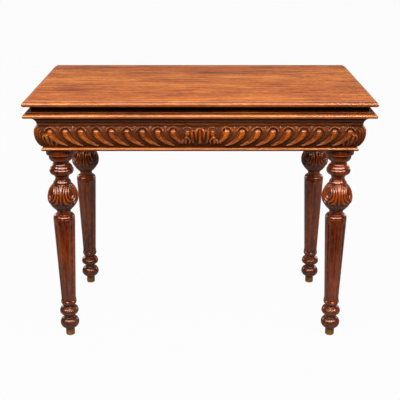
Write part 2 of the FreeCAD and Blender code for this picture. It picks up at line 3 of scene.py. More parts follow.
import bpy
import numpy as np
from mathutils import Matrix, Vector


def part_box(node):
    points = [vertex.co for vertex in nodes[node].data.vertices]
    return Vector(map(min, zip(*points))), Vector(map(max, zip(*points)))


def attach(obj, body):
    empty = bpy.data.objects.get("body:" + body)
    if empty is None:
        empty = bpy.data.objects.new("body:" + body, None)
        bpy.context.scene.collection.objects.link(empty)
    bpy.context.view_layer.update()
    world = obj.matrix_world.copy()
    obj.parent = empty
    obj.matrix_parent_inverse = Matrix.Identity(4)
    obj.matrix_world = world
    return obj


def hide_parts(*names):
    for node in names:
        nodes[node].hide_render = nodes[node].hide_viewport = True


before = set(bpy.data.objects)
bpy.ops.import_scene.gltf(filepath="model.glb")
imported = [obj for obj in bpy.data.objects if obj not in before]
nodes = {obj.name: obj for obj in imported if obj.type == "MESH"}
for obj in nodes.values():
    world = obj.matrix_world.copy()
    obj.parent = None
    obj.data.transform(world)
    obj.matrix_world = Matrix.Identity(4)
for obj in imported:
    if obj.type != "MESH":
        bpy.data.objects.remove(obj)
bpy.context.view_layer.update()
mm = 0.001
print("frame loaded:", len(nodes), "nodes")


def tint(red, green, blue):
    # a colour as seen on screen, 0 to 255, in the shader's own light values
    parts = [part / 255 for part in (red, green, blue)]
    return [part / 12.92 if part <= 0.04045 else ((part + 0.055) / 1.055) ** 2.4 for part in parts] + [1.0]


class Wire:
    # a node's output that takes part in arithmetic
    def __init__(self, paint, socket):
        self.paint = paint
        self.socket = socket

    def maths(self, operation, first, second):
        return self.paint.add("Math", {"operation": operation}, {0: first, 1: second})

    def __add__(self, other):
        return self.maths("ADD", self, other)

    def __radd__(self, other):
        return self.maths("ADD", other, self)

    def __sub__(self, other):
        return self.maths("SUBTRACT", self, other)

    def __rsub__(self, other):
        return self.maths("SUBTRACT", other, self)

    def __mul__(self, other):
        return self.maths("MULTIPLY", self, other)

    def __rmul__(self, other):
        return self.maths("MULTIPLY", other, self)

    def clamped(self):
        return self.paint.add("Clamp", {}, {"Value": self})

    def size(self):
        return self.maths("ABSOLUTE", self, 0.0)

    def least(self, other):
        return self.maths("MINIMUM", self, other)


class Paint:
    # the nodes of one material, or of the world
    def __init__(self, tree, output="Material"):
        self.tree = tree
        self.output = output
        self.tree.nodes.clear()

    def add(self, kind, settings, values, output=0):
        return self.outputs(kind, settings, values, [output])[0]

    def parts(self, vector):
        return self.outputs("SeparateXYZ", {}, {"Vector": vector}, [0, 1, 2])

    def outputs(self, kind, settings, values, wanted):
        made = self.tree.nodes.new("ShaderNode" + kind)
        for key, setting in settings.items():
            if key == "stops":
                ramp = made.color_ramp
                while len(ramp.elements) < len(setting):
                    ramp.elements.new(0.5)
                for element, (position, colour) in zip(ramp.elements, setting):
                    element.position = position
                    element.color = colour
            else:
                setattr(made, key, setting)
        for key, value in values.items():
            if isinstance(value, Wire):
                self.tree.links.new(value.socket, made.inputs[key])
            else:
                made.inputs[key].default_value = value
        return [Wire(self, made.outputs[output]) for output in wanted]

    def noise(self, place, scale, detail, roughness=0.5):
        return self.add(
            "TexNoise", {}, {"Vector": place, "Scale": scale, "Detail": detail, "Roughness": roughness}
        )

    def blend(self, amount, first, second):
        return self.add("Mix", {"data_type": "RGBA"}, {0: amount, 6: first, 7: second}, 2)

    def end(self, shader):
        self.outputs("Output" + self.output, {}, {"Surface": shader}, [])


def newFinish(name):
    finish = bpy.data.materials.new(name)
    finish.use_nodes = True
    return finish, Paint(finish.node_tree)


def surface(finish, paint, values):
    paint.end(paint.add("BsdfPrincipled", {}, values))
    return finish


# Polished and plain wood: streaks along the grain, fine fibres, short dark pores and slow changes of tone.
def woodGrain(paint, place, grain, look):
    def streaks(along, across, detail, start):
        scale = [across] * 3
        scale[grain] = along
        moved = paint.add("Mapping", {}, {"Vector": place, "Location": start, "Scale": scale})
        return paint.noise(moved, 1.0, detail, 0.55)

    bands = streaks(*look["figure"], 4.0, (0.3, 0.7, 0.1))
    fibres = streaks(*look["fibre"], 3.0, (2.3, 1.7, 4.1))
    pores = streaks(*look["pore"], 1.0, (5.3, 3.7, 2.1))
    clouds = streaks(*look["cloud"], 3.0, (1.1, 6.2, 3.3))
    flecks = streaks(*look["fleck"], 2.0, (4.1, 2.9, 0.7))
    tone = 0.5
    for layer, amount in ((bands, "bands"), (fibres, "fibres"), (clouds, "clouds"), (flecks, "flecks")):
        tone = tone + (layer - 0.5) * look[amount]
    return tone.clamped(), fibres, pores


# Painted shade in the hollows of the edges, such as the channel between the folded leaves, and a painted
# highlight line along each arris, in metres. A line along an edge is given by its level, half height and
# depth of colour.
edgeShading = {
    # the colour of the painted shade in the channel and the quirks
    "colour": tint(14, 4, 2),
    "middle": 0.6875,  # the channel's painted shade: its level, half height, and from where to where it runs inwards
    "height": 0.0098,
    "start": 0.0094,
    "end": 0.0212,
    "sideSpread": 0.006,  # the painted shade comes further out at the left and right edges
    "depth": 0.95,
    "fadeIn": 300.0,  # how fast the painted shade fades at its outer, inner and upper borders, per metre
    "fadeOut": 900.0,
    "fadeUp": 700.0,
    # dark lines of painted shade in the quirks, and painted highlight lines along the arrises
    "quirks": ((0.6762, 0.0041, 0.95), (0.7062, 0.0021, 0.5)),
    "arrises": ((0.6791, 0.0012, 0.2), (0.7093, 0.0016, 0.5)),
    "quirkSet": 0.0085,  # inwards from the edge of the leaf
    "quirkReach": 1.6,  # how wide the lines run across the edge, and how fast they fade
    "quirkFade": 700.0,
    "coveLow": 0.649,  # painted shade in the cove starts here and is full one rise higher
    "coveRise": 0.009,
    "coveDepth": 0.75,
    # a painted dark line in the cove's quirk and a painted highlight along its arris
    "coveQuirk": (0.6412, 0.0012, 0.7),
    "coveArris": (0.644, 0.0016, 0.9),
    "friezeTop": 0.6412,
    "friezeFade": 2000.0,
    # painted shade on the lower half of the bead, and a painted highlight line along its top
    "beadMiddle": 0.5725,
    "beadFade": 400.0,
    "beadDepth": 0.42,
    "beadLine": (0.574, 0.0013, 0.35),
}


def levelLine(z, level, half, depth):
    # at its full depth over the middle third
    core = 1.5
    return (core - (z - level).size() * (core / half)).clamped() * depth


# painted shade in the channel and quirks, painted highlight lines on the arrises, and the mask of the noses
def leafEdgeShading(paint, place):
    low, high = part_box("upper_leaf")
    x, y, z = paint.parts(place)
    fromSide = high[0] - x.size()
    fromFront = -low[1] - y.size()
    inset = fromSide.least(fromFront)
    reached = (fromSide + edgeShading["sideSpread"]).least(fromFront) - edgeShading["start"]
    begun = (reached * edgeShading["fadeIn"]).clamped()
    ended = ((edgeShading["end"] - inset) * edgeShading["fadeOut"]).clamped()
    within = ((edgeShading["height"] - (z - edgeShading["middle"]).size()) * edgeShading["fadeUp"]).clamped()
    shadowed = begun * ended * within * edgeShading["depth"]
    fromQuirk = (inset - edgeShading["quirkSet"]).size()
    nearEdge = (edgeShading["quirkReach"] - fromQuirk * edgeShading["quirkFade"]).clamped()
    for quirk in edgeShading["quirks"]:
        shadowed = shadowed + levelLine(z, *quirk) * nearEdge
    lower, upper = (levelLine(z, *arris) for arris in edgeShading["arrises"])
    onNose = ((edgeShading["quirkSet"] - inset) * edgeShading["fadeOut"]).clamped()
    return shadowed.clamped(), (lower + upper) * nearEdge, onNose


# painted shade in the upper cove and its quirk, and a painted highlight on its arris
def coveShading(paint, place):
    z = paint.parts(place)[2]
    above = ((z - edgeShading["coveLow"]) * (1 / edgeShading["coveRise"])).clamped()
    onCove = ((z - edgeShading["friezeTop"]) * edgeShading["friezeFade"]).clamped()
    shadowed = above * edgeShading["coveDepth"] + levelLine(z, *edgeShading["coveQuirk"])
    return onCove * shadowed.clamped(), onCove * levelLine(z, *edgeShading["coveArris"]), onCove * above


# painted shade on the bead's lower half and a painted highlight line along its top
def beadShading(paint, place):
    z = paint.parts(place)[2]
    below = ((edgeShading["beadMiddle"] - z) * edgeShading["beadFade"]).clamped()
    return below * edgeShading["beadDepth"], levelLine(z, *edgeShading["beadLine"]), below


def polishedWood(name, grain, look):
    finish, paint = newFinish(name)
    place = paint.add("TexCoord", {}, {}, "Object")
    tone, fibres, pores = woodGrain(paint, place, grain, look)
    colour = paint.add("ValToRGB", {"stops": look["stops"]}, {"Fac": tone})
    dots = ((pores - look["poreStart"]) * look["poreGain"]).clamped() * look["pores"]
    colour = paint.blend(dots, colour, look["poreColour"])
    # carved pieces give painted shade in their hollows and creases, up to 1, and painted highlights on
    # crests and edges, below 0
    hollow = paint.add("Attribute", {"attribute_name": "hollow"}, {}, "Fac")
    grit = paint.noise(place, look["gritScale"], 2.0, 0.6)
    gritty = hollow * hollow * hollow
    # painted shade in the hollows, with grit in the deepest of them
    shadeAndGrit = (hollow * look["shading"] + gritty * (grit - 0.5) * look["gritColour"]).clamped()
    colour = paint.blend(shadeAndGrit, colour, look["shadingColour"])
    # painted highlight on crests and edges
    paintedHighlight = (hollow * -1.0).clamped()
    colour = paint.blend(paintedHighlight, colour, look["paintedHighlightColour"])
    rough = look["roughness"] + (fibres - 0.5) * look["fibreRough"] + hollow.size() * look["hollowRough"]
    matt = gritty.clamped() * look["mattShading"]
    if look["edges"]:
        # painted shade in the edge hollows, painted highlight lines on the arrises, a deeper colour on the
        # noses, and painted shade under the cove's top and on the bead
        paintedShade, highlightLines, deep = look["edges"](paint, place)
        colour = paint.blend(deep * look["deep"], colour, look["deepColour"])
        colour = paint.blend(highlightLines, colour, look["highlightLineColour"])
        rough = rough - deep * look["deepGloss"]
        colour = paint.blend(paintedShade, colour, edgeShading["colour"])
        matt = (matt + paintedShade).clamped()
    height = fibres * look["fibreHeight"] - dots + gritty * grit * look["gritHeight"]
    bump = paint.add("Bump", {}, {"Height": height, "Strength": look["bump"], "Distance": 0.0006})
    polish = paint.add(
        "BsdfPrincipled",
        {},
        {
            "Base Color": colour,
            "Roughness": rough.clamped(),
            "Normal": bump,
            "IOR": look["ior"],
            "Specular IOR Level": look["gloss"],
            "Specular Tint": look["glossTint"],
        },
    )
    # a matt layer where the shade is painted
    shading = paint.add(
        "BsdfPrincipled",
        {},
        {"Base Color": colour, "Roughness": look["shadingRough"], "Specular IOR Level": look["shadingGloss"]},
    )
    paint.end(paint.add("MixShader", {}, {0: matt, 1: polish, 2: shading}))
    return finish


topWood = {
    "stops": [
        (0.1, tint(131, 60, 26)),
        (0.42, tint(184, 93, 36)),
        (0.62, tint(204, 110, 42)),
        (0.95, tint(237, 145, 64)),
    ],
    "figure": (11.0, 62.0),  # scale of each layer of the grain, along it and across
    "fibre": (9.0, 420.0),
    "pore": (42.0, 1300.0),
    "cloud": (3.2, 13.0),
    "fleck": (70.0, 120.0),
    "bands": 1.4,  # how much each layer changes the tone
    "fibres": 1.0,
    "clouds": 1.3,
    "flecks": 0.8,
    "pores": 0.5,
    "poreStart": 0.6,  # higher leaves fewer pores
    "poreGain": 9.0,
    "poreColour": tint(96, 42, 18),
    # painted shade in hollows: its amount, colour, and the roughness and gloss of its matt layer
    "shading": 0.9,
    "shadingColour": tint(72, 32, 14),
    "shadingRough": 0.9,
    "shadingGloss": 0.08,
    "mattShading": 0.8,
    "gritScale": 480.0,
    "gritColour": 1.6,
    "gritHeight": 1.2,
    # colours of the painted highlights on crests and edges, and of the painted lines along arrises
    "paintedHighlightColour": tint(190, 96, 28),
    "highlightLineColour": tint(184, 150, 138),
    "deep": 0.55,  # deeper colour and more gloss on the noses; painted shade on the upper cove and the bead's lower half
    "deepColour": tint(148, 72, 2),
    "deepGloss": 0.12,
    "roughness": 0.36,
    "fibreRough": 0.16,
    "fibreHeight": 0.5,
    "hollowRough": 0.2,
    "ior": 1.5,
    "gloss": 0.9,
    "glossTint": (1.0, 0.96, 0.82, 1.0),
    "bump": 0.25,
    "edges": leafEdgeShading,
}
frameWood = dict(
    topWood,
    stops=[
        (0.1, tint(112, 46, 7)),
        (0.42, tint(170, 78, 12)),
        (0.62, tint(188, 92, 17)),
        (0.95, tint(212, 116, 33)),
    ],
    poreColour=tint(60, 26, 10),
    # a brighter painted highlight on the cove's arris
    highlightLineColour=tint(255, 172, 122),
    figure=(4.0, 42.0),
    bands=1.0,
    roughness=0.28,
    ior=1.6,
    glossTint=(1.0, 0.8, 0.62, 1.0),
    edges=coveShading,
)
legWood = dict(
    frameWood,
    stops=[
        (0.1, tint(62, 19, 2)),
        (0.42, tint(114, 41, 5)),
        (0.62, tint(136, 53, 8)),
        (0.95, tint(164, 73, 15)),
    ],
    # painted shade in the legs' hollows and painted highlights on their crests
    shadingColour=tint(36, 14, 8),
    paintedHighlightColour=tint(182, 84, 24),
    roughness=0.17,
    ior=1.56,
    gloss=1.0,
    glossTint=(1.0, 0.7, 0.56, 1.0),
    edges=None,
)
# the bead in a darker wood than the frieze, standing in for its shade, with a painted highlight line along
# its top
shadedBeadWood = dict(
    frameWood,
    stops=[
        (0.1, tint(96, 40, 6)),
        (0.42, tint(146, 64, 9)),
        (0.62, tint(160, 74, 13)),
        (0.95, tint(184, 94, 24)),
    ],
    highlightLineColour=tint(246, 164, 84),
    deepColour=tint(128, 52, 2),
    gloss=0.8,
    glossTint=(1.0, 0.86, 0.56, 1.0),
    roughness=0.2,
    edges=beadShading,
)
plainWood = dict(
    topWood,
    stops=[
        (0.1, tint(118, 82, 48)),
        (0.42, tint(158, 116, 72)),
        (0.62, tint(172, 130, 84)),
        (0.95, tint(196, 156, 108)),
    ],
    poreColour=tint(104, 70, 40),
    roughness=0.68,
    gloss=0.3,
    glossTint=(1.0, 1.0, 1.0, 1.0),
    edges=None,
)


# Metal: even colour with slow tarnish and fine drawn lines.
def metal(name, look):
    finish, paint = newFinish(name)
    place = paint.add("TexCoord", {}, {}, "Object")
    lines = paint.add("Mapping", {}, {"Vector": place, "Scale": look["lines"]})
    drawn = paint.noise(lines, 1.0, 2.0)
    tarnish = paint.noise(place, look["tarnishScale"], 4.0)
    amount = (0.5 + (tarnish - 0.5) * look["tarnish"] + (drawn - 0.5) * look["drawn"]).clamped()
    return surface(
        finish,
        paint,
        {
            "Base Color": paint.blend(amount, look["bright"], look["dull"]),
            "Metallic": look["metallic"],
            "Roughness": look["roughness"] + (drawn - 0.5) * look["lineRough"],
            "Normal": paint.add("Bump", {}, {"Height": drawn, "Strength": look["bump"], "Distance": 0.0004}),
        },
    )


brass = {
    "bright": tint(214, 174, 96),
    "dull": tint(150, 112, 56),
    "lines": (40.0, 900.0, 900.0),
    "drawn": 0.5,
    "lineRough": 0.2,
    "tarnish": 1.8,
    "tarnishScale": 90.0,
    "bump": 0.15,
    "metallic": 1.0,
    "roughness": 0.34,
}
agedBrass = dict(
    brass,
    bright=tint(160, 104, 40),
    dull=tint(104, 64, 22),
    lines=(700.0, 700.0, 30.0),
    drawn=1.4,
    metallic=0.3,
    roughness=0.52,
)
steel = dict(brass, bright=tint(150, 148, 144), dull=tint(96, 92, 88), roughness=0.45)


# Baize: short green wool with a faint nap.
baize = {
    "pile": tint(38, 92, 52),
    "shade": tint(22, 66, 36),
    "napScale": 900.0,
    "nap": 0.7,  # how much the nap and the slow wear change the colour
    "wearScale": 9.0,
    "wear": 0.5,
    "sheen": 0.35,
    "cells": (110, 60),
    "thickness": 0.72 * mm,
    "unevenness": 0.05 * mm,
    "lowered": 0.1 * mm,  # below the face of its recess
}


def baizeCloth(name):
    finish, paint = newFinish(name)
    place = paint.add("TexCoord", {}, {}, "Object")
    nap = paint.noise(place, baize["napScale"], 3.0, 0.7)
    wear = paint.noise(place, baize["wearScale"], 3.0)
    amount = (nap * baize["nap"] + wear * baize["wear"] - 0.1).clamped()
    return surface(
        finish,
        paint,
        {
            "Base Color": paint.blend(amount, baize["shade"], baize["pile"]),
            "Roughness": 0.95,
            "Sheen Weight": baize["sheen"],
            "Sheen Roughness": 0.5,
            "Normal": paint.add("Bump", {}, {"Height": nap, "Strength": 0.5, "Distance": 0.0005}),
        },
    )


def dress(material, *names):
    for name in names:
        for slot in nodes[name].material_slots:
            slot.material = material


acrossGrain, endGrain, uprightGrain = 0, 1, 2  # the axis that the grain follows
sides = ("front", "right", "back", "left")
corners = ("front_left", "front_right", "back_left", "back_right")


def bothWays(name, look):
    # a wood for each side, with its grain along that side
    long = polishedWood(f"{name}Long", acrossGrain, look)
    short = polishedWood(f"{name}Short", endGrain, look)
    return {"front": long, "back": long, "left": short, "right": short}


frameFinish = bothWays("frameWood", frameWood)
beadFinish = bothWays("shadedBeadWood", shadedBeadWood)
legFinish = polishedWood("legWood", uprightGrain, legWood)
plainFinish = bothWays("plainWood", plainWood)
plainUpright = polishedWood("plainWoodUpright", uprightGrain, plainWood)
brassFinish = metal("brass", brass)
agedFinish = metal("agedBrass", agedBrass)
steelFinish = metal("steel", steel)
baizeFinish = baizeCloth("baize")
dress(polishedWood("topWood", acrossGrain, topWood), "lower_leaf", "upper_leaf")
for side in sides:
    dress(frameFinish[side], f"cove_{side}", f"frieze_{side}")
    dress(beadFinish[side], f"bead_{side}")
    dress(plainFinish[side], f"{side}_rail")
dress(plainFinish["front"], "well_floor")
dress(plainFinish["left"], "pivot_bearer")
dress(plainUpright, "stop_peg", *[f"block_{corner}" for corner in corners])
dress(legFinish, *[f"leg_{corner}" for corner in corners])
dress(agedFinish, *[f"ferrule_{corner}" for corner in corners])
dress(brassFinish, "pivot_bush", "plate_screws", "hinge_pins", "lower_hinge_screws", "upper_hinge_screws")
dress(brassFinish, "hinge_lower_left", "hinge_lower_right", "hinge_upper_left", "hinge_upper_right")
dress(steelFinish, "pivot_plate", "pivot_bolt", "pivot_washer", "pivot_nut", "block_screws")
dress(baizeFinish, "lower_baize", "upper_baize")
print("finishes made:", len(bpy.data.materials))


# Carving is drawn with strokes. A row of a stroke is: across, up, half width and how high its crest
# stands, in mm, where 0 is the plain surface.
def spline(rows, count):
    rows = np.asarray(rows, float)
    ends = np.vstack([2 * rows[0] - rows[1], rows, 2 * rows[-1] - rows[-2]])
    along = np.linspace(0, len(rows) - 1.000001, count)
    index = along.astype(int)
    part = (along - index)[:, None]
    first, start, end, last = (ends[index + offset] for offset in range(4))
    bend = 2 * first - 5 * start + 4 * end - last
    twist = 3 * start - first - 3 * end + last
    return 0.5 * (2 * start + (end - first) * part + bend * part**2 + twist * part**3)


def nearStroke(rows, across, up, count=60):
    # distance to the stroke's edge, negative inside it, with the half width and crest at the nearest spot
    spots = spline(rows, count)
    gap = np.hypot(across[..., None] - spots[:, 0], up[..., None] - spots[:, 1]) - spots[:, 2]
    nearest = gap.argmin(-1)
    distance = np.take_along_axis(gap, nearest[..., None], -1)[..., 0]
    return distance, spots[nearest, 2], spots[nearest, 3]


def rounded(distance, width, crest, ground):
    middle = np.clip(1 + distance / width, 0, 1)
    return ground + (crest - ground) * np.sqrt(1 - middle**2)


def domed(distance, width, crest, ground):
    # a low cone with a steep rim, for the heads of the gadroons
    rimStart = 0.8
    middle = np.clip(1 + distance / width, 0, 1)
    cone = 1 - 0.5 * (np.minimum(middle, rimStart) / rimStart) ** 1.25
    rim = np.sqrt(1 - np.clip((middle - rimStart) / (1 - rimStart), 0, 1) ** 2)
    return ground + (crest - ground) * cone * rim


def faded(value, end, fade, amount=1.0):
    # the amount below end, less over the last stretch before it; a negative fade turns it round
    return amount * np.clip((end - value) / fade, 0, 1)


def carveStroke(height, across, up, rows, ground, groove=0.0):
    # raises one stroke above its ground, with a cut line along its edge where it has a groove
    grooveWidth = 1.4
    reach = max(row[2] for row in rows) + 3
    low = min(row[0] for row in rows) - reach
    high = max(row[0] for row in rows) + reach
    columns = np.where(((across > low) & (across < high)).any(0))[0]
    if not len(columns):
        return
    distance, width, crest = nearStroke(rows, across[:, columns], up[:, columns])
    old = height[:, columns]
    body = rounded(distance, width, crest, ground)
    if groove:
        cut = ground - groove * (1 - np.clip(distance, 0, grooveWidth) / grooveWidth)
        old = np.where(distance < grooveWidth, np.minimum(old, cut), old)
    else:
        body = np.maximum(old, body)
    height[:, columns] = np.where(distance < 0, body, old)


def gridFaces(rows, columns, ring=None, flipped=False):
    # the faces between a grid's points, whose rows or columns may close into a ring
    faces = []
    for row in range(rows if ring == "rows" else rows - 1):
        for column in range(columns if ring == "columns" else columns - 1):
            nextRow = (row + 1) % rows
            nextColumn = (column + 1) % columns
            start = row * columns + column
            aside = row * columns + nextColumn
            below = nextRow * columns + column
            across = nextRow * columns + nextColumn
            faces.append((start, below, across, aside) if flipped else (start, aside, across, below))
    return faces


def smoothMesh(name, points, faces, material):
    mesh = bpy.data.meshes.new(name)
    mesh.from_pydata(points.reshape(-1, 3).tolist(), [], faces)
    mesh.polygons.foreach_set("use_smooth", [True] * len(mesh.polygons))
    mesh.materials.append(material)
    return mesh


def standFor(mesh, node, body):
    piece = bpy.data.objects.new(mesh.name, mesh)
    bpy.context.scene.collection.objects.link(piece)
    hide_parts(node)
    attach(piece, body)
    return piece


def carvedPiece(node, points, faces, hollow, material):
    sharpAngle = 78
    mesh = smoothMesh(f"carved_{node}", points, faces, material)
    mesh.attributes.new("hollow", "FLOAT", "POINT").data.foreach_set("value", hollow.reshape(-1))
    mesh.set_sharp_from_angle(angle=math.radians(sharpAngle))
    standFor(mesh, node, "frame")


# The frieze swells out to its belly. Gadroons run from the corners to a leaf in the middle of each side.
frieze = {
    "topSet": 7.4,  # how far the top edge stands behind the belly
    "footSet": 15.1,
    "bellyRise": 43.5,
    "rows": 70,
    "step": 1.0,  # between columns
    "ground": -5.0,
    "firstHead": 43.0,  # from the corner to the first gadroon
    "spacing": 40.3,
    "lastHead": 64.0,  # no gadroon nearer the middle than this
    "gadroon": [  # towards the middle, level, half width, crest
        (0.0, 624.2, 7.7, 0.0),
        (0.8, 617.0, 7.3, 0.0),
        (3.6, 610.0, 6.8, 0.0),
        (8.8, 603.0, 5.6, -0.2),
        (17.6, 594.2, 4.0, -0.6),
        (29.0, 587.4, 2.6, -1.2),
        (38.0, 583.6, 1.4, -2.0),
        (44.0, 581.6, 0.7, -3.0),
    ],
    "gadroonFoot": -5.4,
    "gadroonReach": (75.0, 40.0),  # how far one shapes the ground, inwards and outwards
    "headBlend": 6.0,  # over this height the tail turns into the domed head
    "sideBlend": 5.0,
    "endWidth": 0.9,  # the gadroon beside the corner leaf is thinner
    "lastRows": 5,  # the one beside the middle leaf is cut short
    "hollowSide": [  # distance from a gadroon's edge on the corner side, height there
        (0.0, -6.2), (1.4, -8.2), (3.6, -7.6), (7.0, -5.8), (11.0, -5.0), (30.0, -5.0),
    ],
    "ridgeSide": [(0.0, -5.8), (0.8, -6.6), (4.0, -5.6), (9.0, -5.0), (30.0, -5.0)],
    "ridge": {"out": 1.9, "half": 1.1, "top": -0.8},
    "headRing": [(0.0, -6.0), (2.0, -8.2), (3.7, -8.2), (6.4, -4.0)],
    "arch": {"out": 6.4, "half": 2.7, "top": -0.2},
    "tuftGround": -3.4,
    "tuftEnd": 0.6,  # a further head would stand this share of a spacing past the last
    "tuft": [
        [(0.0, 639.6, 1.0, -2.4), (0.0, 634.5, 1.5, -2.2), (0.0, 629.0, 0.8, -3.0)],
        [(2.0, 639.6, 0.9, -2.6), (3.2, 636.5, 1.2, -2.4), (4.0, 633.5, 0.6, -3.0)],
    ],
    "centreLeaf": [
        [(0.0, 634.0, 1.4, -0.4), (0.0, 618.0, 2.8, 0.0), (0.0, 600.0, 4.0, -0.2),
         (0.0, 586.0, 5.2, -1.4)],
        [(2.6, 634.4, 2.0, 0.0), (6.4, 631.0, 3.4, 0.0), (10.2, 624.0, 4.0, -0.1),
         (10.6, 613.0, 3.0, -1.0), (9.6, 600.0, 1.6, -2.6)],
        [(15.4, 628.0, 2.6, 0.0), (16.0, 625.4, 2.6, -0.4)],
        [(20.6, 628.0, 2.8, -0.2), (21.6, 620.0, 3.8, -0.2), (20.8, 608.0, 3.4, -0.8),
         (19.0, 596.0, 2.8, -1.6), (18.0, 585.0, 2.0, -2.8)],
        [(33.0, 623.6, 5.8, 0.0), (33.0, 617.6, 6.0, -0.2), (32.6, 612.6, 3.4, -1.6)],
        [(36.4, 609.4, 2.4, 0.0), (37.4, 604.0, 4.4, -0.1), (38.0, 595.0, 4.2, -0.8),
         (36.0, 584.6, 2.4, -2.4)],
        [(34.4, 608.6, 2.0, -0.1), (29.4, 602.6, 2.4, -0.3), (25.0, 596.0, 2.0, -0.6)],
        [(27.4, 593.0, 1.8, -1.4), (28.0, 588.0, 2.4, -1.6), (28.0, 583.0, 1.4, -3.0)],
        [(44.4, 600.0, 2.0, 0.0), (46.0, 592.0, 3.4, -0.2), (48.0, 583.0, 2.2, -1.6)],
        [(52.6, 591.0, 1.4, -0.6), (54.0, 587.0, 2.2, -1.0), (55.6, 582.6, 1.2, -2.6)],
    ],
    "centreArch": [(21.0, 630.0, 1.2, -2.0), (25.0, 635.2, 1.8, -1.2), (33.0, 637.6, 2.0, -1.0),
                   (41.0, 635.2, 1.8, -1.2), (45.6, 629.6, 1.2, -2.2)],
    "centreArchGround": -4.6,
    "centreGround": -6.2,
    "centreReach": 57.0,
    "leafBlend": 5.0,
    "cornerGround": -6.0,
    "cornerTop": [(0.0, 28.0), (20.0, 14.0), (36.0, 2.0), (54.0, -30.0)],  # from the corner, up
    "cornerClear": 34.0,  # nearer the corner than this a gadroon gives way to the leaf
    "topEdge": 1.6,  # the carving dies out over this height below the cove
    "mitreReach": 24.0,  # the carving bends into the mitre over this length
    "hollowStart": 1.9,  # painted shade starts at this depth and is full this much deeper
    "hollowDepth": 3.6,
    "cornerShade": (37.0, 8.0, 0.5),  # more painted shade round the leaves: reach, fade, amount
    "centreShade": (56.0, 10.0, 0.25),
    "cornerLeaf": [  # from the corner along the face, level, half width, crest
        [(0.0, 641.0, 6.4, -0.8), (0.0, 634.0, 5.6, -0.4), (0.0, 620.0, 3.6, -1.8),
         (0.0, 602.0, 3.6, -2.6), (2.0, 580.0, 3.0, -3.6)],
        [(12.0, 634.0, 2.0, 0.0), (9.2, 630.6, 2.6, -0.4), (7.6, 616.0, 2.6, -2.2),
         (9.0, 600.0, 2.4, -3.2), (13.0, 579.6, 1.8, -4.0)],
        [(19.0, 627.0, 2.0, 0.2), (16.4, 623.4, 2.6, -0.4), (14.8, 612.0, 2.4, -2.2),
         (16.4, 598.0, 2.2, -3.2), (20.0, 579.6, 1.6, -4.2)],
        [(27.4, 614.6, 3.2, 0.3), (24.2, 609.6, 3.6, -0.3), (22.8, 600.0, 2.8, -2.2),
         (26.0, 580.0, 1.8, -4.0)],
        [(35.6, 615.4, 2.4, 0.2), (32.4, 613.2, 4.0, 0.1), (32.6, 605.0, 4.6, -0.5),
         (31.6, 595.0, 3.4, -2.2), (30.4, 579.6, 2.2, -3.8)],
        [(45.4, 602.0, 2.2, 0.3), (42.8, 598.0, 2.4, -1.0), (38.6, 588.0, 1.8, -3.2),
         (36.0, 579.0, 1.2, -4.4)],
        [(54.4, 592.4, 2.2, 0.3), (51.0, 588.4, 2.2, -1.2), (44.0, 579.0, 1.4, -3.8)],
    ],
}


def friezeSection(level, low, top):
    # how far the plain section stands behind the belly, which way it faces, and its length so far
    belly = low + frieze["bellyRise"]
    lower = (frieze["footSet"] ** 2 + (belly - low) ** 2) / (2 * frieze["footSet"])
    upper = (frieze["topSet"] ** 2 + (top - belly) ** 2) / (2 * frieze["topSet"])
    radius = np.where(level < belly, lower, upper)
    slope = (level - belly) / radius
    facing = np.sqrt(1 - slope**2)
    return radius * (1 - facing), facing, slope, radius * np.arcsin(slope)


def laidOut(stroke, low, top):
    # a stroke's levels measured along the swelling section
    rows = []
    for across, level, width, crest in stroke:
        length = float(friezeSection(np.array(level), low, top)[3])
        rows.append((across, length, width, crest))
    return rows


